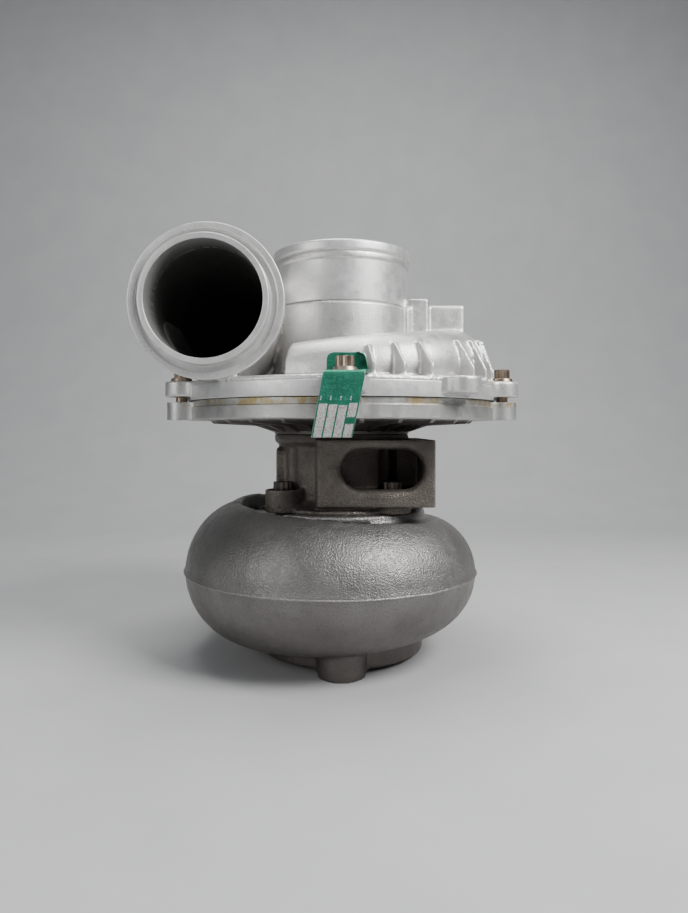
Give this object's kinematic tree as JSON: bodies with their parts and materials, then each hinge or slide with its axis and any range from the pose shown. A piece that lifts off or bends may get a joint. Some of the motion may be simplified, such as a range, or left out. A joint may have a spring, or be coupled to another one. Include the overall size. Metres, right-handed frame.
{
  "type": "turbocharger",
  "caption": "Oil-cooled turbocharger: a compressor in a flanged scroll cover and a turbine in a cast scroll, on one shaft with floating bearings in a windowed cast housing.",
  "frame": {"origin": "on the shaft axis, in the plane of the outlet bosses that the turbocharger stands on; centre of their bolt circle", "axes": "+Z along the shaft from the turbine to the compressor inlet; the compressor outlet faces -Y, the turbine inlet +Y, the oil drain +X"},
  "size_m": [0.2675, 0.257, 0.3049],
  "materials": {
    "blasted_aluminium": "bead-blasted sand casting",
    "backplate_aluminium": "blasted casting with oil staining",
    "machined_aluminium": "machined",
    "green_anodised_plate": "green anodised sheet with bare metal fields",
    "bolt_steel": "zinc-plated steel, browned by heat",
    "hot_bolt_steel": "dark oxidised steel",
    "screw_steel": "blackened steel",
    "pressed_steel": "pressed stainless sheet",
    "ground_steel": "ground steel",
    "spring_steel": "blued spring steel",
    "ring_iron": "ground iron",
    "wheel_superalloy": "investment-cast nickel alloy",
    "core_cast_iron": "rough sand casting, brown-grey",
    "turbine_cast_iron": "shot-blasted sand casting",
    "bearing_bronze": "machined bronze",
    "seal_rubber": "moulded"
  },
  "bodies": {
    "housing": {"compressor_cover": "blasted_aluminium", "cover_bolts": "bolt_steel", "nameplate": "green_anodised_plate", "cover_o_ring": "seal_rubber", "compressor_backplate": "backplate_aluminium", "backplate_screws": "screw_steel", "seal_insert": "machined_aluminium", "insert_o_ring": "seal_rubber", "oil_deflector": "pressed_steel", "thrust_bearing": "bearing_bronze", "compressor_piston_ring": "ring_iron", "turbine_piston_ring": "ring_iron", "bearing_circlips": "spring_steel", "bearing_housing": "core_cast_iron", "heat_shield": "pressed_steel", "turbine_housing_bolts": "hot_bolt_steel", "turbine_housing": "turbine_cast_iron"},
    "rotor": {"compressor_wheel": "machined_aluminium", "shaft_locknut": "bolt_steel", "thrust_collar": "ground_steel", "seal_sleeve": "ground_steel", "rotor_shaft": "ground_steel", "turbine_wheel": "wheel_superalloy"},
    "turbine_side_bearing": {"journal_bearing_turbine_side": "bearing_bronze"},
    "compressor_side_bearing": {"journal_bearing_compressor_side": "bearing_bronze"}
  },
  "joints": [
    {"name": "rotor_spin", "type": "hinge", "parent": "housing", "child": "rotor", "pos_m": [0, 0, 0.127], "axis": [0, 0, 1], "continuous": true},
    {"name": "turbine_side_bearing_spin", "type": "hinge", "parent": "housing", "child": "turbine_side_bearing", "pos_m": [0, 0, 0.108], "axis": [0, 0, 1], "continuous": true},
    {"name": "compressor_side_bearing_spin", "type": "hinge", "parent": "housing", "child": "compressor_side_bearing", "pos_m": [0, 0, 0.146], "axis": [0, 0, 1], "continuous": true}
  ]
}
